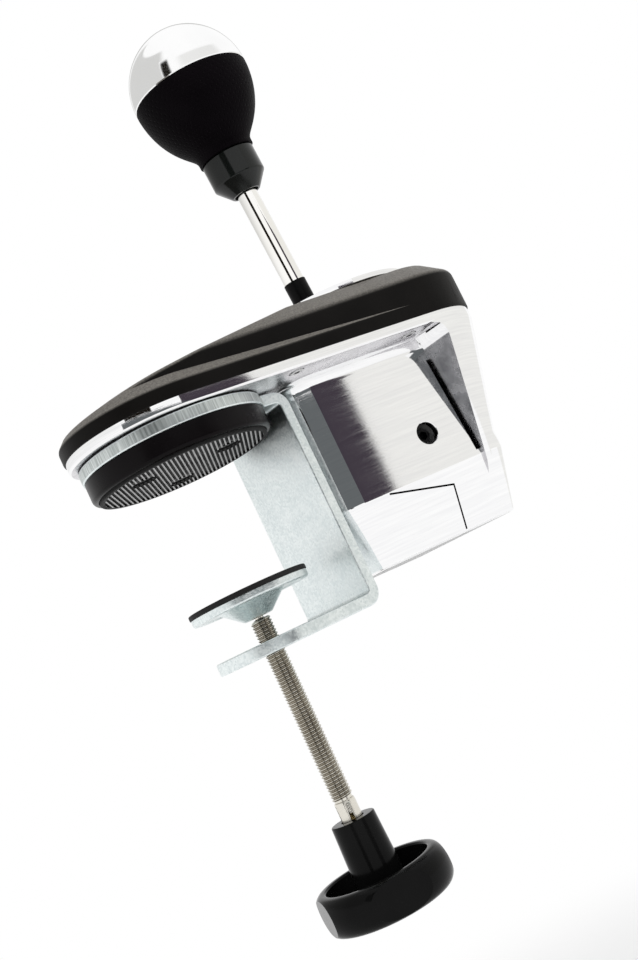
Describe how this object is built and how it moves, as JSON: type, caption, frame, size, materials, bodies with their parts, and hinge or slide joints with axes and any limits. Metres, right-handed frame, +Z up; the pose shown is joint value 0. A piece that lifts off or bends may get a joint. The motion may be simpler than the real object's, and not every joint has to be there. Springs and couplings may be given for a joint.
{
  "type": "sim racing gear shifter",
  "caption": "Clamp-on H-pattern gear shifter: ball-topped lever in a gated deck over a cast housing, with a bent-plate table clamp and a screw jaw turned by a handwheel.",
  "frame": {"origin": "centre of the upper clamp pad's contact face, which rests on the table top", "axes": "+Z up, +X from the clamp's axis towards the lever and the player, +Y to the player's right"},
  "size_m": [0.177, 0.109, 0.3435],
  "materials": {
    "tread_rubber": "matt ribbed rubber",
    "ring_plastic": "satin black moulding",
    "fastener_steel": "zinc plated screws",
    "zinc_steel": "zinc plated bent plate",
    "gasket_rubber": "matt black gasket",
    "jaw_rubber": "matt black rubber",
    "acetal": "natural acetal",
    "thread_steel": "bright threaded steel",
    "wheel_plastic": "gloss black moulding",
    "brass": "turned brass",
    "polished_alloy": "polished and brushed casting",
    "cover_plastic": "matt dark plastic",
    "collar_plastic": "fine grained satin black",
    "socket_plastic": "black plastic",
    "frame_steel": "dark painted steel",
    "pin_steel": "ground steel",
    "bronze": "oiled bronze",
    "shaft_chrome": "bright chrome",
    "sleeve_plastic": "black tube",
    "neck_plastic": "gloss black moulding",
    "grip_leather": "perforated black leather look",
    "cap_chrome": "satin to bright chrome",
    "magnet": "nickel plated",
    "board": "green circuit board",
    "chip": "black chip",
    "connector": "white connector",
    "spring_steel": "spring steel",
    "dark_steel": "black oxide screws"
  },
  "bodies": {
    "base": {"pad_tread": "tread_rubber", "pad_ring": "ring_plastic", "pad_screws": "fastener_steel", "clamp_bracket": "zinc_steel", "clamp_gasket": "gasket_rubber", "housing": "polished_alloy", "bottom_cover": "cover_plastic", "cover_screws": "fastener_steel", "top_collar": "collar_plastic", "collar_screws": "fastener_steel", "shift_plate": "polished_alloy", "plate_screws": "fastener_steel", "cable_socket": "socket_plastic", "pivot_base": "frame_steel", "base_screws": "fastener_steel", "select_pins": "pin_steel", "sensor_board": "board", "sensor_chips": "chip", "board_connector": "connector", "board_pillars": "brass", "centring_springs": "spring_steel", "tension_screws": "dark_steel"},
    "gimbal": {"gimbal_frame": "frame_steel", "select_bushes": "bronze", "shift_pin": "pin_steel", "detent_screw": "fastener_steel", "detent_spring": "spring_steel", "detent_ball": "pin_steel"},
    "lever": {"lever_hub": "frame_steel", "hub_bushes": "bronze", "lever_shaft": "shaft_chrome", "gate_sleeve": "sleeve_plastic", "neck_collar": "neck_plastic", "knob_insert": "brass", "knob_grip": "grip_leather", "knob_cap": "cap_chrome", "magnet_holder": "cover_plastic", "sensor_magnet": "magnet"},
    "jaw_slide": {"swivel_socket": "acetal"},
    "jaw_pad": {"jaw_dish": "zinc_steel", "jaw_rubber": "jaw_rubber"},
    "jaw_screw": {"clamp_screw": "thread_steel", "swivel_ball": "fastener_steel", "handwheel": "wheel_plastic", "handwheel_insert": "brass"}
  },
  "joints": [
    {"name": "select", "type": "hinge", "parent": "base", "child": "gimbal", "pos_m": [0.0907, -0.0034, -0.02], "axis": [0.9945, 0, 0.1045], "range_deg": [-26.9, 13.7], "stiffness_Nm_per_rad": 3},
    {"name": "shift", "type": "hinge", "parent": "gimbal", "child": "lever", "pos_m": [0.0907, -0.0034, -0.02], "axis": [-0.0057, 0.9985, 0.0538], "range_deg": [-11.2, 11.2]},
    {"name": "screw_feed", "type": "slide", "parent": "base", "child": "jaw_slide", "axis": [0, 0, 1], "range_m": [-0.008, 0.0464]},
    {"name": "screw_turn", "type": "hinge", "parent": "jaw_slide", "child": "jaw_screw", "pos_m": [0.002, 0, -0.1], "axis": [0, 0, 1], "range_deg": [-2310, 13370]},
    {"name": "pad_tilt", "type": "hinge", "parent": "jaw_slide", "child": "jaw_pad", "pos_m": [0.002, 0, -0.0545], "axis": [0, 1, 0], "range_deg": [-4, 4]}
  ],
  "couplings": [
    {"joint": "screw_turn", "follows": "screw_feed", "rad_per_m": 5026.5}
  ]
}
